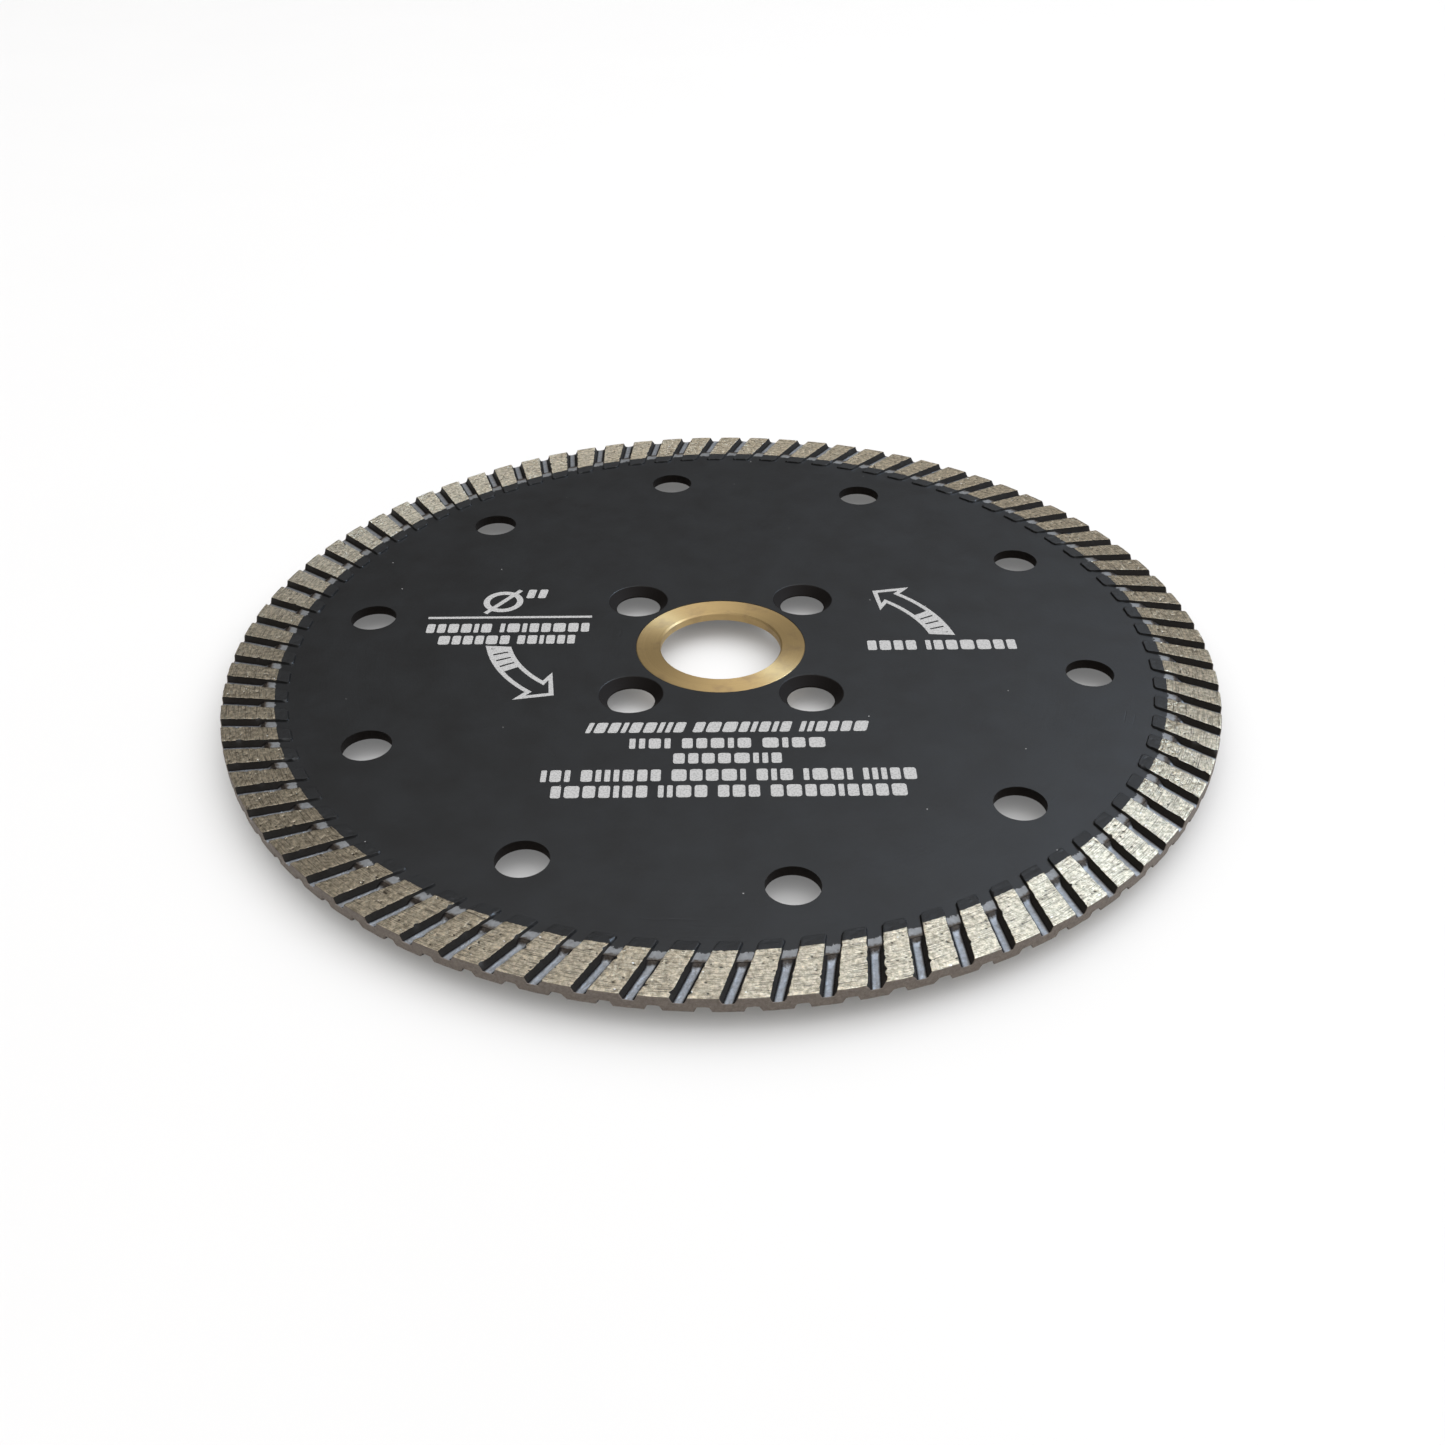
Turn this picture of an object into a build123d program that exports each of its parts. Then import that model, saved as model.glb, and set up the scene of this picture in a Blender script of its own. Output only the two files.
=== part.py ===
from build123d import *

import os
from math import cos, pi, radians

# A turbo-rim diamond blade for an angle grinder, in millimetres.
#
# The origin is the centre of the arbor bore, halfway through the blade.
# +Z is the spindle axis and leaves the printed face; +Y is the top of the print.

# Overall sizes
blade_diameter = 127.0  # a 5 inch blade
core_thickness = 1.3
rim_thickness = 2.0
rim_depth = 8.0  # radial depth of the sintered rim, with its grip on the core
core_grip = 2.8  # how far the rim reaches in over each face of the core

# Arbor: the brass reducer ring pushes out of the core to fit a larger spindle
arbor_diameter = 15.88  # 5/8 inch
reducer_diameter = 22.23  # 7/8 inch
reducer_clearance = 0.02  # radial, a push fit that slides
bore_chamfer = 0.2
reducer_edge_chamfer = 0.1

# Countersunk screw holes that hold a flush-cutting flange
screw_hole_count = 4
screw_hole_diameter = 6.0
countersink_diameter = 8.2
countersink_angle = 90.0
screw_wall = 0.765  # steel left between a countersink and the core's bore
first_screw_angle = 45.0

# Cooling holes near the rim
cooling_hole_count = 10
cooling_hole_diameter = 6.1
cooling_hole_inset = 10.65  # from the core's edge to the circle of hole centres
first_cooling_angle = 27.0

# Turbo slots, pressed into both faces of the rim, with the two faces half a pitch apart
slot_count = 82
slot_width = 1.7
slot_depth = 0.8
slot_slant = 18.5  # from the radius; a slot trails a blade that turns anticlockwise
slot_draft = 20.0
first_slot_angle = 3.78
land_corner_radius = 0.5  # or less, where the lands are narrow
floor_step = 0.05  # the slot floor starts this much below the core's face
floor_shelf = 0.2  # and stays level this far before it ramps down
floor_ramp = 0.6
rim_edge_chamfer = 0.25

# Places worked out from those sizes
blade_radius = blade_diameter / 2
rim_inner_radius = blade_radius - rim_depth
core_radius = rim_inner_radius + core_grip
core_face = core_thickness / 2
rim_face = rim_thickness / 2
slot_floor = rim_face - slot_depth
slot_gauge_radius = blade_radius - rim_depth / 2  # where the slant and the slot angles are measured
slot_pitch_angle = 360 / slot_count
land_inner_width = 2 * pi * rim_inner_radius / slot_count - slot_width / cos(radians(slot_slant))
core_bore_radius = reducer_diameter / 2 + reducer_clearance
screw_circle_radius = core_bore_radius + screw_wall + countersink_diameter / 2
cooling_circle_radius = core_radius - cooling_hole_inset
overrun = 1.0  # how far a shape that is trimmed afterwards passes its final edge


def land_plan(face_height, first_angle):
    """Plan of one face's lands: the rim's band with a slanted slot taken out at every pitch."""
    strip_length = 2 * (rim_depth + overrun)
    with BuildSketch(Plane.XY.offset(face_height)) as plan:
        Circle(blade_radius + overrun)
        Circle(rim_inner_radius, mode=Mode.SUBTRACT)
        with PolarLocations(slot_gauge_radius, slot_count, start_angle=first_angle):
            Rectangle(strip_length, slot_width, rotation=-slot_slant, mode=Mode.SUBTRACT)
        slot_sides = plan.edges().filter_by(GeomType.LINE)
        inner_corners = [side.vertices().sort_by_distance((0, 0, 0))[0] for side in slot_sides]
        fillet(inner_corners, radius=min(land_corner_radius, land_inner_width / 3))
    return plan.sketch


# Steel core: a flat disc that the rim is sintered onto
with BuildPart() as steel_core:
    with BuildSketch(Plane.XY.offset(-core_face)):
        Circle(core_radius)
        Circle(core_bore_radius, mode=Mode.SUBTRACT)
        with PolarLocations(cooling_circle_radius, cooling_hole_count, start_angle=first_cooling_angle):
            Circle(cooling_hole_diameter / 2, mode=Mode.SUBTRACT)
    extrude(amount=core_thickness)
    with Locations(Plane.XY.offset(core_face)):
        with PolarLocations(screw_circle_radius, screw_hole_count, start_angle=first_screw_angle):
            CounterSinkHole(
                radius=screw_hole_diameter / 2,
                counter_sink_radius=countersink_diameter / 2,
                counter_sink_angle=countersink_angle,
            )

# Diamond rim: one sintered ring, grooved to straddle the core's edge, with lands on both faces
with BuildPart() as diamond_rim:
    # The web between the two faces' slots carries the slot floors and their ramps
    shelf_height = core_face - floor_step
    ramp_start = core_radius + floor_shelf
    ramp_end = ramp_start + floor_ramp
    with BuildSketch(Plane.XZ):
        with BuildLine():
            Polyline(
                (rim_inner_radius, 0),
                (rim_inner_radius, shelf_height),
                (ramp_start, shelf_height),
                (ramp_end, slot_floor),
                (blade_radius + overrun, slot_floor),
                (blade_radius + overrun, 0),
                close=True,
            )
        make_face()
        mirror(about=Plane.XZ)
    revolve(axis=Axis.Z)

    # Lands stand on the web and widen towards it
    extrude(land_plan(rim_face, first_slot_angle), amount=-rim_face, taper=-slot_draft)
    extrude(
        land_plan(-rim_face, first_slot_angle + slot_pitch_angle / 2),
        amount=rim_face,
        taper=-slot_draft,
    )

    # Dress the outside to size, with its two sharp edges taken off
    with BuildSketch(Plane.XZ) as dressed_half:
        Rectangle(blade_radius, rim_thickness, align=(Align.MIN, Align.CENTER))
        chamfer(dressed_half.vertices().group_by(Axis.X)[-1], length=rim_edge_chamfer)
    revolve(axis=Axis.Z, mode=Mode.INTERSECT)

    # Groove for the core's edge
    with BuildSketch(Plane.XY.offset(-core_face)):
        Circle(core_radius)
    extrude(amount=core_thickness, mode=Mode.SUBTRACT)

# Reducer ring: a brass bush, flush with both faces of the core
with BuildPart() as reducer_ring:
    with BuildSketch(Plane.XY.offset(-core_face)):
        Circle(reducer_diameter / 2)
        Circle(arbor_diameter / 2, mode=Mode.SUBTRACT)
    extrude(amount=core_thickness)
    round_edges = reducer_ring.edges().filter_by(GeomType.CIRCLE).group_by(SortBy.RADIUS)
    chamfer(round_edges[0], length=bore_chamfer)
    chamfer(round_edges[-1], length=reducer_edge_chamfer)

pieces = {
    "steel_core": steel_core,
    "diamond_rim": diamond_rim,
    "reducer_ring": reducer_ring,
}
os.makedirs("parts", exist_ok=True)
for name, piece in pieces.items():
    piece.part.label = name
    export_step(piece.part, f"parts/{name}.step")
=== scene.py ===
import math
import random

import bmesh
import bpy
from mathutils import Matrix, Vector, noise


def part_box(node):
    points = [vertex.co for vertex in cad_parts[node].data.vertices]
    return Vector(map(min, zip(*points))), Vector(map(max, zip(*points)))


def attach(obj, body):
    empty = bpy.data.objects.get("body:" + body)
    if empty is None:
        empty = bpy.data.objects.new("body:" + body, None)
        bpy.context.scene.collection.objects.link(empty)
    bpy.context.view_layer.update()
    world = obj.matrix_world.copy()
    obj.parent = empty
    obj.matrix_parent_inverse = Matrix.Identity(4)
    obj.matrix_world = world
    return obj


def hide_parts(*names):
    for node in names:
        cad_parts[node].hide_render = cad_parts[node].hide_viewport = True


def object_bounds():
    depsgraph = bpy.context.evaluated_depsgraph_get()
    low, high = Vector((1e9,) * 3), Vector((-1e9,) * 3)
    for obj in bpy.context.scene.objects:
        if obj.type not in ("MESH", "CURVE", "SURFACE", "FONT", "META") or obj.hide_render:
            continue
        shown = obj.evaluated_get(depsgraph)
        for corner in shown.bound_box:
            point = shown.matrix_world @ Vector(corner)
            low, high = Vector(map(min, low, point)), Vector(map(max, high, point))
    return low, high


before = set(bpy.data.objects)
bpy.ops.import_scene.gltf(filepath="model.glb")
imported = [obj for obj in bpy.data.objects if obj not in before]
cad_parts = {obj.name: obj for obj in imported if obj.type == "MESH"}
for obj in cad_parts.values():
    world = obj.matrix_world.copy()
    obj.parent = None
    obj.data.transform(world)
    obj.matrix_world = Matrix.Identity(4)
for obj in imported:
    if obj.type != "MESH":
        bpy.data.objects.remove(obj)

# A turbo-rim diamond blade, in metres.
#
# The origin is the blade's centre, and +Z leaves its printed face. The steel core and the brass ring
# are the CAD nodes. The rim is remade here with worn lands, and the print is added on the core.
MM = 0.001
FULL_TURN = 2 * math.pi
BLADE = "blade"

# Sizes read from the CAD parts
cad_low, cad_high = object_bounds()
BLADE_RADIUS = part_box("diamond_rim")[1].x
RIM_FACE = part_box("diamond_rim")[1].z
CORE_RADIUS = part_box("steel_core")[1].x
CORE_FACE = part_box("steel_core")[1].z
FLOOR_HEIGHT = cad_low.z - 2.6 * MM  # the blade is held just clear of the table, for a soft shadow

# The rim's pattern, as its CAD solid has it
SLOT_COUNT = 82
SLOT_HALF_WIDTH = 0.85 * MM
SLOT_DEPTH = 0.8 * MM
SLOT_SLANT = math.radians(18.5)
DRAFT = math.tan(math.radians(20))
FIRST_SLOT = math.radians(3.78)
PITCH = FULL_TURN / SLOT_COUNT
RIM_DEPTH = 8.0 * MM
RIM_INNER_RADIUS = BLADE_RADIUS - RIM_DEPTH
GAUGE_RADIUS = BLADE_RADIUS - RIM_DEPTH / 2
LAND_CORNER = 0.3 * MM  # crisper than the CAD solid's 0.5
RAMP_START = CORE_RADIUS + 0.2 * MM
RAMP_END = RAMP_START + 0.6 * MM
EDGE_CHAMFER = 0.25 * MM

# The black coating stops here, part of the way out along the rim's grip on the core
PAINT_RADIUS = RIM_INNER_RADIUS + 1.5 * MM

# The attribute that the rim's vertices carry: pits in the lands, and painted shade at the slots' feet
PITS_AND_FOOT_SHADE = "pits_and_foot_shade"


# ---------------------------------------------------------------- materials


class Nodes:
    """A node tree, with short calls for the nodes that the finishes and the room are made of."""

    def __init__(self, tree):
        self.tree = tree

    def node(self, kind, **settings):
        made = self.tree.nodes.new("ShaderNode" + kind)
        for setting, value in settings.items():
            setattr(made, setting, value)
        return made

    def feed(self, socket, value):
        """Links a node's output to the socket, or sets a plain value on it."""
        if isinstance(value, bpy.types.NodeSocket):
            self.tree.links.new(value, socket)
        else:
            socket.default_value = value

    def math(self, operation, *values):
        made = self.node("Math", operation=operation)
        for socket, value in zip(made.inputs, values):
            self.feed(socket, value)
        return made.outputs[0]

    def vector(self, operation, *values):
        made = self.node("VectorMath", operation=operation)
        for socket, value in zip(made.inputs, values):
            self.feed(socket, value)
        return made.outputs[0]

    def scaled(self, vector, factor):
        made = self.node("VectorMath", operation="SCALE")
        self.feed(made.inputs[0], vector)
        self.feed(made.inputs["Scale"], factor)
        return made.outputs[0]

    def fade(self, value, low, high):
        """0 below low, 1 above high, with a smooth step between. low may be the larger."""
        made = self.node("MapRange", interpolation_type="SMOOTHSTEP")
        self.feed(made.inputs["Value"], value)
        made.inputs["From Min"].default_value = low
        made.inputs["From Max"].default_value = high
        return made.outputs["Result"]

    def spread(self, value, low, high):
        """Carries a value that runs from 0 to 1 over to the range from low to high."""
        made = self.node("MapRange")
        self.feed(made.inputs["Value"], value)
        made.inputs["To Min"].default_value = low
        made.inputs["To Max"].default_value = high
        return made.outputs["Result"]

    def mix(self, factor, first, second):
        """A colour between two others. A Mix node's colours are its inputs 6 and 7 and its output 2."""
        made = self.node("Mix", data_type="RGBA")
        self.feed(made.inputs[0], factor)
        self.feed(made.inputs[6], first)
        self.feed(made.inputs[7], second)
        return made.outputs[2]

    def parts(self, vector):
        made = self.node("SeparateXYZ")
        self.feed(made.inputs[0], vector)
        return made.outputs


class Surface(Nodes):
    """A material, whose shader the calls below feed."""

    def __init__(self, name, **constants):
        self.material = bpy.data.materials.new(name)
        self.material.use_nodes = True
        super().__init__(self.material.node_tree)
        self.shader = self.tree.nodes["Principled BSDF"]
        self.place = self.node("TexCoord").outputs["Object"]
        for socket, value in constants.items():
            self.shader.inputs[socket.replace("_", " ")].default_value = value

    def noise(self, size, detail=3.0, roughness=0.55, place=None):
        """Noise whose lumps are about as large as size, in metres."""
        made = self.node("TexNoise")
        self.feed(made.inputs["Vector"], place or self.place)
        made.inputs["Scale"].default_value = 1 / size
        made.inputs["Detail"].default_value = detail
        made.inputs["Roughness"].default_value = roughness
        return made.outputs["Fac"]

    def cells(self, size, place=None):
        """Voronoi cells: the distance to each cell's centre and the cell's own random colour."""
        made = self.node("TexVoronoi")
        self.feed(made.inputs["Vector"], place or self.place)
        made.inputs["Scale"].default_value = 1 / size
        return made.outputs["Distance"], made.outputs["Color"]

    def radius(self):
        """Distance from the spindle axis."""
        flat = self.vector("MULTIPLY", self.place, (1, 1, 0))
        length = self.node("VectorMath", operation="LENGTH")
        self.feed(length.inputs[0], flat)
        return length.outputs["Value"]

    def around(self, length_along, length_across):
        """A place that runs round the axis, so that noise of size 1 turns into arcs of those lengths.

        length_along is the arc's length on the rim, and length_across its width along the radius.
        """
        flat = self.vector("MULTIPLY", self.place, (1, 1, 0))
        direction = self.scaled(self.vector("NORMALIZE", flat), GAUGE_RADIUS / length_along)
        rise = self.node("CombineXYZ")
        self.feed(rise.inputs["Z"], self.math("DIVIDE", self.radius(), length_across))
        return self.vector("ADD", direction, rise.outputs[0])

    def pits_and_foot_shade(self):
        """How deep the pits in the lands go, and how much painted shade the slots' feet carry, from 0 to
        1.
        """
        return self.node("Attribute", attribute_name=PITS_AND_FOOT_SHADE).outputs["Fac"]

    def tooled_round(self):
        """Runs the highlights across the marks of a tool that went round the axis."""
        tangent = self.node("Tangent", direction_type="RADIAL", axis="Z")
        self.feed(self.shader.inputs["Tangent"], tangent.outputs[0])

    def colour(self, value):
        self.feed(self.shader.inputs["Base Color"], value)

    def roughness(self, value):
        self.feed(self.shader.inputs["Roughness"], value)

    def bump(self, height, depth, strength=1.0):
        """Bumps as deep as depth, in metres, where height runs from 0 to 1. Bumps add up."""
        made = self.node("Bump")
        made.inputs["Strength"].default_value = strength
        made.inputs["Distance"].default_value = depth
        self.feed(made.inputs["Height"], height)
        normal = self.shader.inputs["Normal"]
        if normal.is_linked:
            self.feed(made.inputs["Normal"], normal.links[0].from_socket)
        self.feed(normal, made.outputs["Normal"])


def grey(level, warmth=0.0):
    """A grey in linear light, a little warmer or, with a negative warmth, cooler."""
    return (level * (1 + warmth), level, level * (1 - warmth), 1)


# Colours in linear light, the darker of a pair first
BLACK_COAT = (grey(0.003, 0.05), grey(0.0055, -0.06))
DUST = grey(0.25)
BARE_STEEL = (grey(0.10, -0.02), grey(0.30, -0.03))
STAINED_STEEL = (0.06, 0.048, 0.038, 1)
# Painted shade inside the core's holes
HOLE_WALL_SHADE = (0.034, 0.029, 0.026, 1)
GROUND_METAL = ((0.27, 0.231, 0.161, 1), (0.90, 0.775, 0.58, 1))
STREAK = (0.16, 0.135, 0.105, 1)
PORE = (0.045, 0.036, 0.028, 1)
DIAMOND = grey(0.95)
PRESSED_METAL = ((0.13, 0.13, 0.13, 1), (0.47, 0.475, 0.485, 1))
# Soot-brown with painted shade, for the slots' ramps
SOOT_AND_SHADE_METAL = ((0.010, 0.008, 0.006, 1), (0.09, 0.072, 0.058, 1))
# Painted shade at the slots' feet, where the floor meets the walls
FOOT_SHADE = (0.012, 0.010, 0.009, 1)
# Painted shade on the slots' walls
SLOT_WALL_SHADE = ((0.005, 0.004, 0.003, 1), (0.018, 0.015, 0.012, 1))
MOULDED_METAL = ((0.06, 0.048, 0.040, 1), (0.26, 0.22, 0.185, 1))
BRASS = ((0.42, 0.29, 0.128, 1), (0.58, 0.42, 0.20, 1))
TARNISH = (0.40, 0.28, 0.14, 1)
WHITE_INK = (grey(0.21), grey(0.33))
PAPER = (grey(0.45), grey(0.46))
WHITE = grey(1.0)
ROOM = ((0.040, 0.036, 0.032, 1), (1.27, 1.28, 1.31, 1))


def coat_colour(surface):
    """The black coating's colour: faintly mottled, with pale dust specks in a fifth of its cells."""
    mottle = surface.noise(7 * MM, detail=6, roughness=0.65)
    black = surface.mix(surface.fade(mottle, 0.3, 0.7), *BLACK_COAT)
    distance, tint = surface.cells(2.6 * MM)
    chosen = surface.math("GREATER_THAN", surface.parts(tint)[0], 0.80)
    speck = surface.math("MULTIPLY", surface.fade(distance, 0.045, 0.02), chosen)
    return surface.mix(speck, black, DUST)


def coat_roughness(surface):
    """Duller and glossier patches of the coating."""
    return surface.spread(surface.noise(5 * MM, detail=5, roughness=0.65), 0.36, 0.54)


def coat_relief(surface):
    """Orange peel, and fine arcs and scratches left in the sheet by grinding, under the coating."""
    arcs = surface.noise(1, detail=5, place=surface.around(22 * MM, 0.22 * MM))
    surface.bump(arcs, 0.016 * MM, 0.5)
    scratches = surface.noise(1, detail=1, place=surface.around(16 * MM, 0.7 * MM))
    surface.bump(surface.fade(scratches, 0.80, 0.76), 0.012 * MM, 0.8)
    surface.bump(surface.noise(0.5 * MM, detail=3), 0.020 * MM, 0.5)


def coated_core():
    """Steel sheet in a thin black coating that stops where the rim's ground band begins, with painted
    shade on the walls of its holes.
    """
    surface = Surface("coated_core", Specular_IOR_Level=0.5)
    wander = surface.math("MULTIPLY", surface.noise(0.7 * MM, detail=4, roughness=0.65), 1.3 * MM)
    ragged = surface.math("ADD", surface.radius(), wander)
    bare = surface.fade(ragged, PAINT_RADIUS + 0.65 * MM, PAINT_RADIUS + 0.78 * MM)
    stained = surface.fade(ragged, CORE_RADIUS + 0.15 * MM, CORE_RADIUS + 0.60 * MM)
    steel = surface.mix(surface.noise(0.6 * MM, detail=5), *BARE_STEEL)
    steel = surface.mix(stained, steel, STAINED_STEEL)
    # Inside the holes the walls are a dull, near-black metal that reflects almost nothing: painted shade
    height = surface.math("ABSOLUTE", surface.parts(surface.place)[2])
    in_hole = surface.fade(height, CORE_FACE - 0.04 * MM, CORE_FACE - 0.08 * MM)
    coat = surface.mix(in_hole, coat_colour(surface), HOLE_WALL_SHADE)
    surface.colour(surface.mix(bare, coat, steel))
    metallic = surface.math("MAXIMUM", surface.math("MULTIPLY", bare, 0.6), in_hole)
    surface.feed(surface.shader.inputs["Metallic"], metallic)
    hole_roughness = surface.math("MULTIPLY", in_hole, 0.8)
    surface.roughness(surface.math("MAXIMUM", coat_roughness(surface), hole_roughness))
    coat_relief(surface)
    return surface.material


def coated_rim():
    """The same coating over the inner ends of the rim's lands, rougher than on the sheet."""
    surface = Surface("coated_rim", Specular_IOR_Level=0.5)
    surface.colour(coat_colour(surface))
    surface.roughness(coat_roughness(surface))
    coat_relief(surface)
    surface.bump(surface.noise(0.25 * MM, detail=4), 0.05 * MM, 0.6)
    return surface.material


def ground_land():
    """Sintered bronze and steel powder, ground in arcs, with dark pores and bright diamond grit."""
    surface = Surface("ground_land", Metallic=0.96, Anisotropic=0.75, Anisotropic_Rotation=0.25)
    surface.tooled_round()
    grain = surface.noise(0.5 * MM, detail=6, roughness=0.7)
    streaks = surface.noise(1, detail=6, roughness=0.75, place=surface.around(2.2 * MM, 0.11 * MM))
    scores = surface.noise(1, detail=3, roughness=0.6, place=surface.around(5 * MM, 0.16 * MM))
    metal = surface.mix(surface.fade(grain, 0.28, 0.72), *GROUND_METAL)
    metal = surface.mix(surface.fade(streaks, 0.52, 0.36), metal, STREAK)

    # Each cell holds a pore, a grain of diamond or nothing
    distance, tint = surface.cells(1, place=surface.around(1.0 * MM, 0.55 * MM))
    kind = surface.parts(tint)[0]
    has_pore = surface.math("GREATER_THAN", kind, 0.70)
    has_grit = surface.math("LESS_THAN", kind, 0.06)
    blob = surface.math("ADD", distance, surface.math("MULTIPLY", grain, 0.5))
    pore = surface.math("MULTIPLY", surface.fade(blob, 0.44, 0.34), has_pore)
    grit = surface.math("MULTIPLY", surface.fade(distance, 0.16, 0.10), has_grit)

    scored = surface.fade(scores, 0.62, 0.72)
    pit = surface.fade(surface.pits_and_foot_shade(), 0.25, 0.8)
    dark = surface.math("MAXIMUM", surface.math("MAXIMUM", pore, scored), pit)
    metal = surface.mix(surface.math("MULTIPLY", dark, 0.85), metal, PORE)
    surface.colour(surface.mix(grit, metal, DIAMOND))
    surface.roughness(surface.spread(streaks, 0.26, 0.52))
    surface.bump(streaks, 0.07 * MM, 0.9)
    surface.bump(grain, 0.09 * MM, 0.8)
    surface.bump(surface.math("SUBTRACT", 1.0, dark), 0.05 * MM, 0.8)
    return surface.material


def slot_floor():
    """A slot's pressed floor: smooth blue-grey sinter, soot-brown and darkened further as painted shade on
    its ramp, and painted black shade at its feet.
    """
    surface = Surface("slot_floor", Metallic=0.9)
    grain = surface.noise(0.45 * MM, detail=5, roughness=0.65)
    wander = surface.math("ADD", surface.radius(), surface.math("MULTIPLY", grain, 0.6 * MM))
    # Towards the ramp the floor is soot-brown, darkened further as painted shade
    outward = surface.fade(wander, RAMP_START + 0.45 * MM, RAMP_END + 0.2 * MM)
    metal = surface.mix(outward, surface.mix(grain, *SOOT_AND_SHADE_METAL), surface.mix(grain, *PRESSED_METAL))
    # Painted shade: the floor goes near-black at its feet, where it meets the walls
    surface.colour(surface.mix(surface.fade(surface.pits_and_foot_shade(), 0.12, 0.75), metal, FOOT_SHADE))
    surface.roughness(surface.spread(grain, 0.60, 0.40))
    surface.bump(grain, 0.15 * MM)
    return surface.material


def slot_wall():
    """A slot's walls: unground sinter with soot-brown residue, painted near-black as shade in the slots.
    """
    surface = Surface("slot_wall", Metallic=0.2)
    grain = surface.noise(0.3 * MM, detail=5, roughness=0.65)
    # Near-black: painted shade on the walls
    surface.colour(surface.mix(grain, *SLOT_WALL_SHADE))
    surface.roughness(surface.spread(grain, 0.75, 0.55))
    surface.bump(grain, 0.05 * MM, 0.7)
    return surface.material


def rim_edge():
    """Rough brown sinter as it leaves the mould, round the rim's outer edge."""
    surface = Surface("rim_edge", Metallic=0.35)
    grain = surface.noise(0.35 * MM, detail=6, roughness=0.7)
    surface.colour(surface.mix(grain, *MOULDED_METAL))
    surface.roughness(surface.spread(grain, 0.75, 0.5))
    surface.bump(grain, 0.12 * MM, 0.9)
    return surface.material


def turned_brass():
    """Brass faced on a lathe: fine rings that throw two narrow spokes of light."""
    surface = Surface("turned_brass", Metallic=0.86, Anisotropic=0.84, Anisotropic_Rotation=0.25)
    surface.tooled_round()
    rings = surface.noise(1, detail=3, roughness=0.6, place=surface.around(160 * MM, 0.05 * MM))
    tarnish = surface.noise(3 * MM, detail=4)
    brass = surface.mix(rings, *BRASS)
    surface.colour(surface.mix(surface.fade(tarnish, 0.5, 0.75), brass, TARNISH))
    surface.roughness(surface.spread(tarnish, 0.40, 0.50))
    surface.bump(rings, 0.010 * MM, 0.5)
    return surface.material


def screen_ink():
    """White screen-printing ink, thin enough that the coating's grain shows in it."""
    surface = Surface("screen_ink", Specular_IOR_Level=0.4)
    grain = surface.noise(0.22 * MM, detail=4, roughness=0.6)
    surface.colour(surface.mix(surface.fade(grain, 0.36, 0.56), *WHITE_INK))
    surface.roughness(surface.spread(grain, 0.5, 0.7))
    surface.bump(grain, 0.02 * MM, 0.5)
    return surface.material


def glowing_paper():
    """Matt paper on a light table, whose glow softens the blade's shadow."""
    surface = Surface("studio_floor", Roughness=0.9, Emission_Color=WHITE, Emission_Strength=0.15)
    surface.colour(surface.mix(surface.noise(40 * MM), *PAPER))
    return surface.material


# ---------------------------------------------------------------- the rim


def slot_line_angle(radius, offset):
    """How far round from a slot's own angle a line beside that slot is, at a radius.

    The line runs with the slant of the slot, offset to its anticlockwise side.
    """
    distance_from_axis = GAUGE_RADIUS * math.sin(SLOT_SLANT) + offset
    return math.asin(distance_from_axis / radius) - SLOT_SLANT


# A pitch's columns: eight across the slot, then those of the land as shares of its width
SLOT_COLUMNS = 8
LAND_SHARES = (0.03, 0.10, 0.21, 0.33, 0.44, 0.56, 0.67, 0.79, 0.90, 0.97)
PITCH_COLUMNS = SLOT_COLUMNS + len(LAND_SHARES)
HALF_PITCH_COLUMNS = PITCH_COLUMNS // 2
COLUMN_COUNT = SLOT_COUNT * PITCH_COLUMNS

# Counted in from either side, a slot's columns are its brink, its wall's middle, its foot and its floor
BRINK = 0
FOOT = 2

# A slot's faces, by the column that they start at
WALL_FACES = (0, 1, 5, 6)
FLOOR_FACES = (2, 3, 4)

# The finishes' places in the rim's list of materials
COATED, GROUND, PRESSED, SLOT_SIDE, MOULDED = range(5)

LAND_ROW_STEP = 0.24 * MM
EDGE_STEPS = 5
FLOOR_SHARE = 0.3  # how far out the floor's middle columns are, as a share of its half width

HIDDEN_FACE = CORE_FACE - 0.05 * MM  # under the core's face, where the rim isn't seen
TUCKED_FACE = HIDDEN_FACE - 0.1 * MM  # inside the core, where the rim's groove is
GROOVE_RADIUS = CORE_RADIUS - 0.1 * MM
INNER_END_SLOPE = 0.15 * MM  # the coating fills the corner between a land's inner end and the core
INNER_END_HEIGHT = 0.24 * MM  # above the core, where a land's coated inner end has sunk the most

# Wear and the unevenness of the mould
EDGE_WEAR = 0.02 * MM
FOOT_RISE = 0.04 * MM  # the floor turns up where it meets the walls
FLOOR_WAVES = 0.03 * MM
LAND_WAVES = 0.008 * MM
PIT_DEPTH = 0.09 * MM
MOULD_DENTS = 0.06 * MM
COAT_WANDER = 0.07 * MM
CHIP_LENGTH = 0.45 * MM  # along a land's edge, and how deep the three kinds of chip are
CHIP_RAGGED = 0.06 * MM
CHIP_SERRATED = 0.05 * MM
CHIP_BITE = 0.8 * MM


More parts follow.
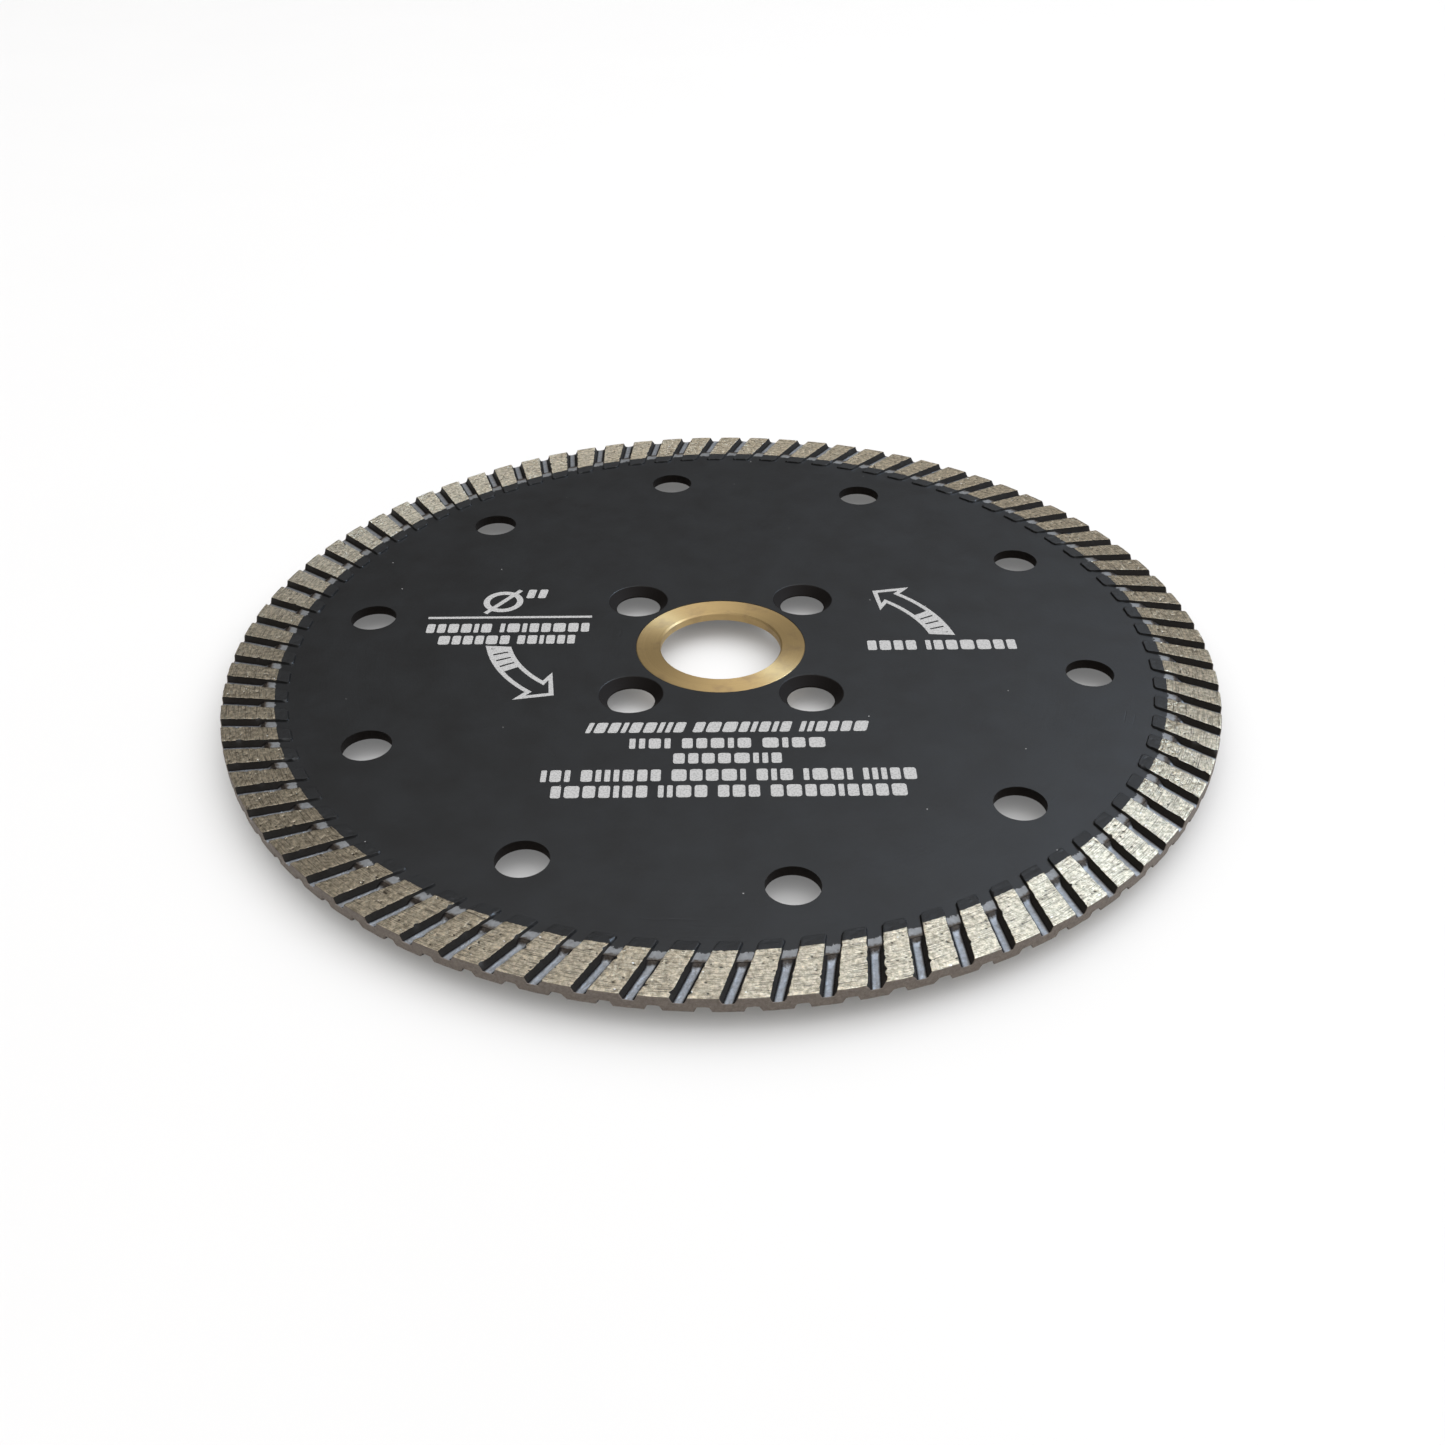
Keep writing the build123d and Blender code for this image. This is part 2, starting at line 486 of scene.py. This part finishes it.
def face_rows():
    """Radii of one face's rows, from the lands' inner ends to the rim's edge."""
    rows = [RIM_INNER_RADIUS - INNER_END_SLOPE]
    rows += [RIM_INNER_RADIUS + step * MM for step in (0.0, 0.06, 0.16, 0.32, 0.5)]
    first_even_row = len(rows)
    start, end = rows[-1], BLADE_RADIUS - EDGE_CHAMFER
    count = round((end - start) / LAND_ROW_STEP)
    rows += [start + (end - start) * n / count for n in range(1, count + 1)]
    movable = range(first_even_row, len(rows) - 1)
    rows += [BLADE_RADIUS - 0.08 * MM, BLADE_RADIUS]
    # The rows nearest the coating's edge, the core's edge and the ramp's ends move onto them
    for target in (PAINT_RADIUS, CORE_RADIUS, RAMP_START, RAMP_END):
        nearest = min(movable, key=lambda n: abs(rows[n] - target))
        rows[nearest] = target
    return rows


def floor_height(radius):
    """A slot's floor: hidden in the core, then down a ramp to its full depth."""
    down = min(max((radius - RAMP_START) / (RAMP_END - RAMP_START), 0), 1)
    return HIDDEN_FACE + (RIM_FACE - SLOT_DEPTH - HIDDEN_FACE) * down


def noise_round(angle, fineness, level):
    """Noise from -1 to 1 that closes on itself round the blade."""
    return noise.noise(Vector((math.cos(angle) * fineness, math.sin(angle) * fineness, level)))


def noise_along(radius, length, *place):
    """Noise from -1 to 1 along a radius, in lumps of that length. Each place has its own."""
    return noise.noise(Vector((radius / length, *place)))


def land_height(radius, angle):
    """A land's top: rounded and crumbled at the rim's edge, sunk under the coating at its inner end."""
    into_edge = max(radius - (BLADE_RADIUS - EDGE_CHAMFER), 0) / EDGE_CHAMFER
    round_edge = EDGE_CHAMFER * (1 - math.sqrt(max(1 - into_edge**2, 0)))
    crumble = noise_round(angle, 90, 5)
    into_coat = min(max(PAINT_RADIUS - radius, 0) / (PAINT_RADIUS - RIM_INNER_RADIUS), 1)
    sunk = (RIM_FACE - CORE_FACE - INNER_END_HEIGHT) * into_coat
    return RIM_FACE - sunk - round_edge * (1.1 + 0.6 * crumble)


def corner_setback(radius):
    """How far a land's rounded inner corners draw back from the slot's side."""
    left = max(LAND_CORNER - (radius - RIM_INNER_RADIUS), 0)
    return LAND_CORNER - math.sqrt(max(LAND_CORNER**2 - min(left, LAND_CORNER) ** 2, 0))


def chip(radius, slot, side):
    """How far a land's edge has crumbled away: a ragged line with a larger bite here and there."""
    ragged = noise_along(radius, CHIP_LENGTH, slot * 3.7, side * 11.3)
    serrated = noise_along(radius, CHIP_LENGTH / 2.1, slot * 2.9, side * 3.3)
    bite = max(noise_along(radius, CHIP_LENGTH / 0.7, slot * 5.1 + 40, side * 7.9) - 0.32, 0)
    return CHIP_RAGGED * ragged + CHIP_SERRATED * serrated + CHIP_BITE * bite


def slot_point(slot, step, radius, brink, top):
    """A point across a slot: from one brink down the wall, over the floor and up to the other brink."""
    side = -1 if step < SLOT_COLUMNS / 2 else 1
    part = min(step, SLOT_COLUMNS - 1 - step)
    floor = floor_height(radius)
    foot = brink - (RIM_FACE - floor) * DRAFT
    offset = side * (brink, (brink + foot) / 2, foot, foot * FLOOR_SHARE)[part]
    height = (top - EDGE_WEAR, (top + floor) / 2, floor + FOOT_RISE, floor)[part]
    if part == BRINK:
        land = slot if side > 0 else slot - 1
        offset += side * chip(radius, land, side)
    else:
        waves = FLOOR_WAVES * noise_along(radius, 0.9 * MM, slot * 2.3, step)
        height = min(height + waves, top - EDGE_WEAR)
    if radius < RIM_INNER_RADIUS:
        height = HIDDEN_FACE
    # A slot's foot column carries painted shade
    return slot_line_angle(radius, offset), height, float(part == FOOT)


def land_point(slot, step, radius, brink, top):
    """A point across a slot's land, which lies on its anticlockwise side."""
    share = LAND_SHARES[step - SLOT_COLUMNS]
    start = slot_line_angle(radius, brink + chip(radius, slot, 1))
    end = PITCH + slot_line_angle(radius, -brink - chip(radius, slot, -1))
    angle = start + (end - start) * share
    if radius < RIM_INNER_RADIUS:
        return angle, HIDDEN_FACE, 0.0
    if radius < RIM_INNER_RADIUS + 0.03 * MM:
        return angle, top - EDGE_WEAR / 2, 0.0
    # Pits lie where the noise is highest, away from the land's edges
    pit = 0.0
    inside_ends = RIM_INNER_RADIUS + LAND_CORNER < radius < BLADE_RADIUS - EDGE_CHAMFER
    if inside_ends and 0.05 < share < 0.95:
        pitted = noise_along(radius, MM / 7, slot * 3.7541, step * 2.9729)
        pit = min(max(pitted - 0.42, 0) * 5, 1)
    waves = LAND_WAVES * (1 + noise_along(radius, 1.3 * MM, slot * 1.9, share * 2))
    return angle, top - waves - PIT_DEPTH * pit, pit


def column_point(column, radius):
    """Angle, height and darkening of the rim's upper face in a column, at a radius: pits on the lands,
    painted shade at a slot's foot.
    """
    slot, step = divmod(column, PITCH_COLUMNS)
    slot_angle = FIRST_SLOT + slot * PITCH
    brink = SLOT_HALF_WIDTH + corner_setback(radius)
    top = land_height(radius, slot_angle + PITCH * step / PITCH_COLUMNS)
    point = slot_point if step < SLOT_COLUMNS else land_point
    angle, height, pits_and_foot_shade = point(slot, step, radius, brink, top)
    return slot_angle + angle, height, pits_and_foot_shade


def turned_over(points):
    """The lower face's row under an upper row: the same one mirrored, and turned by half a pitch."""
    turned = []
    for column in range(COLUMN_COUNT):
        from_column = column - HALF_PITCH_COLUMNS
        angle, height, pits_and_foot_shade = points[from_column]
        if from_column < 0:
            angle -= FULL_TURN
        turned.append((angle + PITCH / 2, -height, pits_and_foot_shade))
    return turned


def face_row(radius, points):
    """A face's row at its radius. At the coating's edge the row wanders, so that the line is ragged."""
    at_coat_edge = abs(radius - PAINT_RADIUS) <= 0.01 * MM
    wander = COAT_WANDER if at_coat_edge else 0.0
    row = []
    for angle, height, pits_and_foot_shade in points:
        row.append((radius + wander * noise_round(angle, 150, 0), angle, height, pits_and_foot_shade))
    return row


def edge_row(share, above, below):
    """A row on the rim's outer edge, at a share of the way from the upper face's row to the lower's."""
    row = []
    for (upper_angle, upper_height, _), (lower_angle, lower_height, _) in zip(above, below):
        angle = upper_angle + (lower_angle - upper_angle) * share
        height = upper_height + (lower_height - upper_height) * share
        dents = MOULD_DENTS * (1 + noise_round(angle, 130, height / BLADE_RADIUS * 130))
        row.append((BLADE_RADIUS - dents, angle, height, 0.0))
    return row


def section_rows(radii):
    """Rows of (radius, angle, height, darkening) that run round the rim's section, where darkening means
    pits on the lands and painted shade at the slots' feet.

    They go out over the upper face, down the edge, in under the lower face, and back
    through the groove that holds the core.
    """
    upper = [[column_point(column, radius) for column in range(COLUMN_COUNT)] for radius in radii]
    lower = [turned_over(points) for points in upper]
    rows = [face_row(radius, points) for radius, points in zip(radii, upper)]
    rows += [edge_row(step / EDGE_STEPS, upper[-1], lower[-1]) for step in range(1, EDGE_STEPS)]
    rows += [face_row(radius, points) for radius, points in reversed(list(zip(radii, lower)))]
    for radius, height in (
        (radii[0], -TUCKED_FACE),
        (GROOVE_RADIUS, -TUCKED_FACE),
        (GROOVE_RADIUS, TUCKED_FACE),
        (radii[0], TUCKED_FACE),
    ):
        rows.append([(radius, angle, height, 0.0) for angle, _, _ in upper[0]])
    return rows


def quad_finish(row, column, radii):
    """The finish of the face that starts at a row and a column."""
    per_side = len(radii)
    lower_end = 2 * per_side + EDGE_STEPS - 2
    if row >= lower_end:
        return COATED
    # The moulded edge takes in the upper side's outermost ring and the lower side's outer two
    if per_side - 3 < row < per_side + EDGE_STEPS + 1:
        return MOULDED
    upper_side = row < per_side
    index = row if upper_side else lower_end - 1 - row
    step = (column if upper_side else column - HALF_PITCH_COLUMNS) % PITCH_COLUMNS
    if radii[index] < PAINT_RADIUS:
        return COATED
    if step in WALL_FACES:
        return SLOT_SIDE
    if step in FLOOR_FACES:
        return PRESSED
    return GROUND


def rim_mesh():
    """The rim's skin as one closed grid: columns run round the blade, rows run round its section."""
    radii = face_rows()
    work = bmesh.new()
    pits_and_foot_shade_layer = work.verts.layers.float.new(PITS_AND_FOOT_SHADE)
    grid = []
    for row in section_rows(radii):
        made = []
        for radius, angle, height, pits_and_foot_shade in row:
            vertex = work.verts.new((radius * math.cos(angle), radius * math.sin(angle), height))
            vertex[pits_and_foot_shade_layer] = pits_and_foot_shade
            made.append(vertex)
        grid.append(made)
    for m, row in enumerate(grid):
        following = grid[(m + 1) % len(grid)]
        for k in range(COLUMN_COUNT):
            beside = (k + 1) % COLUMN_COUNT
            face = work.faces.new((row[k], following[k], following[beside], row[beside]))
            face.material_index = quad_finish(m, k, radii)
            face.smooth = True
    bmesh.ops.recalc_face_normals(work, faces=work.faces)
    mesh = bpy.data.meshes.new("sintered_rim")
    work.to_mesh(mesh)
    work.free()
    mesh.set_sharp_from_angle(angle=math.radians(38))
    return mesh


def make_rim():
    finishes = {
        COATED: coated_rim(),
        GROUND: ground_land(),
        PRESSED: slot_floor(),
        SLOT_SIDE: slot_wall(),
        MOULDED: rim_edge(),
    }
    mesh = rim_mesh()
    for place in sorted(finishes):
        mesh.materials.append(finishes[place])
    rim = bpy.data.objects.new("sintered_rim", mesh)
    bpy.context.collection.objects.link(rim)
    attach(rim, BLADE)
    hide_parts("diamond_rim")


# ---------------------------------------------------------------- CAD nodes that stay


def refinish(node, material, edge_width):
    """Gives a CAD node its material and a narrow bevel that catches the light along its edges."""
    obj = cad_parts[node]
    obj.data.materials.clear()
    obj.data.materials.append(material)
    bevel = obj.modifiers.new("worn_edges", "BEVEL")
    bevel.width = edge_width
    bevel.segments = 2
    bevel.limit_method = "ANGLE"
    bevel.angle_limit = math.radians(40)
    bevel.harden_normals = True


# ---------------------------------------------------------------- the print

INK_THICKNESS = 0.025 * MM
CORNER_SHARE = 0.22  # a block's corner radius as a share of its shorter side
LETTER_GAP = 0.27  # between blocks and between words, where a wide letter is 1
WORD_GAP = 0.85
LETTER_WIDTHS = (0.45, 0.8, 0.9, 1.0, 1.2)


class Print:
    """Collects flat shapes, in metres on the printed face, as thin closed slabs of ink."""

    def __init__(self, name, ink):
        self.name = name
        self.ink = ink
        self.work = bmesh.new()

    def slab(self, outline, hole=None, coats=1.0):
        """A slab with that outline. A hole has as many points as its outline, paired with them."""
        low, high = CORE_FACE, CORE_FACE + INK_THICKNESS * coats
        loops = [outline] if hole is None else [outline, hole]
        bottoms = [[self.work.verts.new((x, y, low)) for x, y in loop] for loop in loops]
        tops = [[self.work.verts.new((x, y, high)) for x, y in loop] for loop in loops]
        count = len(outline)
        for bottom, top in zip(bottoms, tops):
            for n in range(count):
                after = (n + 1) % count
                self.work.faces.new((bottom[n], bottom[after], top[after], top[n]))
        if hole is None:
            self.work.faces.new(tops[0])
            self.work.faces.new(bottoms[0])
            return
        for outer, inner in (tops, bottoms):
            for n in range(count):
                after = (n + 1) % count
                self.work.faces.new((outer[n], outer[after], inner[after], inner[n]))

    def block(self, x, y, width, height, lean=0.0):
        """A block with rounded corners and its lower left corner at x, y."""
        corner = CORNER_SHARE * min(width, height)
        outline = []
        for n in range(4):
            centre_x = x + (width - corner if n in (0, 3) else corner)
            centre_y = y + (height - corner if n in (0, 1) else corner)
            for step in range(4):
                angle = (n + step / 3) * math.pi / 2
                px = centre_x + corner * math.cos(angle)
                py = centre_y + corner * math.sin(angle)
                outline.append((px + (py - y) * lean, py))
        self.slab(outline)

    def words(self, x, y, width, height, letters, lean=0.0):
        """A line of words as rows of blocks that say nothing, one block where a letter might be."""
        draw = random.Random(len(letters) * 101 + sum(letters))
        sizes = [[draw.choice(LETTER_WIDTHS) for _ in range(count)] for count in letters]
        total = sum(sum(word) + LETTER_GAP * (len(word) - 1) for word in sizes)
        unit = width / (total + WORD_GAP * (len(sizes) - 1))
        for word in sizes:
            for size in word:
                self.block(x, y, size * unit, height, lean)
                x += (size + LETTER_GAP) * unit
            x += (WORD_GAP - LETTER_GAP) * unit

    def ribbon(self, points, width):
        """A closed line of that width, with mitred corners."""
        outer, inner = [], []
        for n, point in enumerate(points):
            before = (point - points[n - 1]).normalized()
            after = (points[(n + 1) % len(points)] - point).normalized()
            across = Vector((-(before + after).y, (before + after).x)).normalized()
            reach = width / 2 / max(across.dot(Vector((-before.y, before.x))), 0.35)
            outer.append(tuple(point + across * reach))
            inner.append(tuple(point - across * reach))
        self.slab(outer, inner)

    def finish(self):
        """Puts the shapes on the blade as one object."""
        bmesh.ops.recalc_face_normals(self.work, faces=self.work.faces)
        mesh = bpy.data.meshes.new(self.name)
        self.work.to_mesh(mesh)
        self.work.free()
        mesh.materials.append(self.ink)
        obj = bpy.data.objects.new(self.name, mesh)
        bpy.context.collection.objects.link(obj)
        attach(obj, BLADE)


def rotation_arrow(name, ink, turn, shift):
    """An outlined arrow along an arc, its tail hatched, that shows which way the blade turns."""
    printed = Print(name, ink)
    centre = Vector((-11.74, 3.94)) * MM
    radius, half_band, line = 17.94 * MM, 1.3 * MM, 0.62 * MM
    tail, sweep, tail_lean = math.radians(194), math.radians(35.5), 0.04
    head_half_width, head_length = 2.95 * MM, 2.6 * MM
    placed = Matrix.Rotation(turn, 2)

    def spot(along, away):
        """A point at a share of the sweep, that far outside the arc."""
        angle = tail + sweep * along
        place = centre + Vector((math.cos(angle), math.sin(angle))) * (radius + away)
        return placed @ place + shift

    steps = 10
    tip = spot(1 + head_length / (radius * sweep), 0)
    outline = [spot(-tail_lean, half_band)]
    outline += [spot(n / steps, half_band) for n in range(1, steps + 1)]
    outline += [spot(1, head_half_width), tip, spot(1 - tail_lean, -head_half_width)]
    outline += [spot(n / steps, -half_band) for n in range(steps, 0, -1)]
    outline += [spot(tail_lean, -half_band)]
    printed.ribbon(outline, line)

    # The hatching, in shares of the sweep, overlaps the outline a little
    bars, hatched, gap, bar_steps = 4, 0.515, 0.014, 3
    inside = half_band - line * 0.45
    for bar in range(bars):
        start = hatched * bar / bars + gap
        end = hatched * (bar + 1) / bars - gap
        stops = [start + (end - start) * n / bar_steps for n in range(bar_steps + 1)]
        sides = [spot(stop, inside) for stop in stops]
        sides += [spot(stop, -inside) for stop in reversed(stops)]
        printed.slab([tuple(point) for point in sides], coats=0.9)
    printed.finish()


def size_mark(ink):
    """Stands where the blade's size is printed: a ring with a line through it, two ticks and a rule."""
    printed = Print("print_size_mark", ink)
    middle, radius, points = Vector((-29.9, 11.3)) * MM, 2.3 * MM, 32
    turns = [n * FULL_TURN / points for n in range(points)]
    ring = [middle + Vector((math.cos(turn), math.sin(turn))) * radius for turn in turns]
    printed.ribbon(ring, 0.85 * MM)

    slant, half_width, half_length = math.radians(55), 0.33 * MM, 3.7 * MM
    along = Vector((math.cos(slant), math.sin(slant)))
    across = Vector((-along.y, along.x)) * half_width
    reach = along * half_length
    corners = (reach + across, across - reach, -reach - across, reach - across)
    printed.slab([tuple(middle + corner) for corner in corners], coats=1.2)

    for x in (-26.9, -25.3):
        printed.block(x * MM, 12.2 * MM, 1.1 * MM, 2.3 * MM, lean=0.12)
    printed.block(-39.6 * MM, 6.95 * MM, 22.2 * MM, 0.5 * MM)
    printed.finish()


def print_lines(ink):
    """Lines of print as blocks: place, width and height in millimetres, letters in each word, and lean."""
    lines = {
        "print_left_upper": (-39.4, 3.4, 21.8, 2.2, (6, 8), 0.0),
        "print_left_lower": (-37.4, 0.5, 18.1, 2.1, (6, 6), 0.0),
        "print_right": (19.3, -1.7, 19.5, 2.3, (4, 7), 0.0),
        "print_middle_1": (-16.5, -19.6, 34.0, 2.1, (9, 8, 6), 0.25),
        "print_middle_2": (-11.0, -22.8, 23.4, 2.0, (4, 5, 4), 0.0),
        "print_middle_3": (-5.7, -25.8, 12.8, 2.0, (8,), 0.0),
        "print_middle_4": (-21.0, -29.1, 43.6, 2.2, (3, 7, 5, 3, 4, 5), 0.0),
        "print_middle_5": (-19.6, -32.1, 40.8, 2.2, (7, 4, 3, 9), 0.0),
    }
    for name, (x, y, width, height, letters, lean) in lines.items():
        printed = Print(name, ink)
        printed.words(x * MM, y * MM, width * MM, height * MM, letters, lean)
        printed.finish()


def make_print():
    ink = screen_ink()
    size_mark(ink)
    print_lines(ink)
    rotation_arrow("print_arrow_left", ink, 0.0, Vector((0, 0)))
    rotation_arrow("print_arrow_right", ink, math.pi, Vector((0.2, 1.9)) * MM)


# ---------------------------------------------------------------- studio


def make_floor():
    """A pale table under the blade, wide enough to fill the view."""
    reach = 3.0
    mesh = bpy.data.meshes.new("table")
    corners = [(-reach, -reach), (reach, -reach), (reach, reach), (-reach, reach)]
    mesh.from_pydata([(x, y, FLOOR_HEIGHT) for x, y in corners], [], [(0, 1, 2, 3)])
    mesh.materials.append(glowing_paper())
    table = bpy.data.objects.new("table", mesh)
    bpy.context.collection.objects.link(table)


def soft_box(name, direction, distance, size, power, colour=(1, 1, 1)):
    """A square area light in a direction from the blade, facing it."""
    light = bpy.data.lights.new(name, "AREA")
    light.size = size
    light.energy = power
    light.color = colour
    holder = bpy.data.objects.new(name, light)
    towards = Vector(direction).normalized()
    holder.location = towards * distance
    holder.rotation_euler = towards.to_track_quat("Z", "Y").to_euler()
    bpy.context.collection.objects.link(holder)
    return holder


def make_lights():
    """A weak light overhead, a cool key for reflections alone, and a broad fill that isn't reflected."""
    cool, warm = (0.50, 0.71, 1.0), (1.0, 0.985, 0.965)
    soft_box("overhead", (0.5, 0.2, 1), distance=0.9, size=1.0, power=2.0)
    key = soft_box("key", (0.6, 0.31, 0.74), distance=1.2, size=0.16, power=9.0, colour=cool)
    key.visible_diffuse = False
    fill = soft_box("paper_fill", (0, 0.1, 1), distance=0.9, size=3.0, power=38.0, colour=warm)
    fill.visible_glossy = False


def make_world():
    """A dim, warm room under a ceiling that is brightest to the right, with white beyond the table."""
    world = bpy.data.worlds.new("studio")
    bpy.context.scene.world = world
    world.use_nodes = True
    nodes = Nodes(world.node_tree)
    lift = nodes.node("VectorMath", operation="DOT_PRODUCT")
    nodes.feed(lift.inputs[0], nodes.node("TexCoord").outputs["Generated"])
    nodes.feed(lift.inputs[1], (0.33, 0.0, 1.0))
    room = nodes.mix(nodes.fade(lift.outputs["Value"], 0.4, 1.0), *ROOM)
    seen_directly = nodes.node("LightPath").outputs["Is Camera Ray"]
    shown = nodes.mix(seen_directly, room, WHITE)
    nodes.feed(nodes.tree.nodes["Background"].inputs["Color"], shown)


def make_camera():
    """Stands in front of the blade, about 190 mm from its centre, and looks down at it."""
    camera = bpy.data.cameras.new("camera")
    camera.sensor_width = 36.0
    camera.lens = 36.18
    camera.clip_start = 0.01
    holder = bpy.data.objects.new("camera", camera)
    elevation, distance = math.radians(32.69), 191.5 * MM
    pitch, yaw, roll = math.radians(35.77), math.radians(0.06), math.radians(0.45)
    aim = Vector((0, 0, CORE_FACE))
    holder.location = aim + Vector((0, -math.cos(elevation), math.sin(elevation))) * distance
    view = Vector((math.sin(yaw) * math.cos(pitch), math.cos(yaw) * math.cos(pitch), -math.sin(pitch)))
    turned = view.to_track_quat("-Z", "Y").to_matrix() @ Matrix.Rotation(-roll, 3, "Z")
    holder.rotation_euler = turned.to_euler()
    bpy.context.collection.objects.link(holder)
    bpy.context.scene.camera = holder


make_rim()
refinish("steel_core", coated_core(), edge_width=0.05 * MM)
refinish("reducer_ring", turned_brass(), edge_width=0.03 * MM)
make_print()

make_floor()
make_world()
make_lights()
make_camera()
bpy.context.scene.view_settings.view_transform = "Standard"
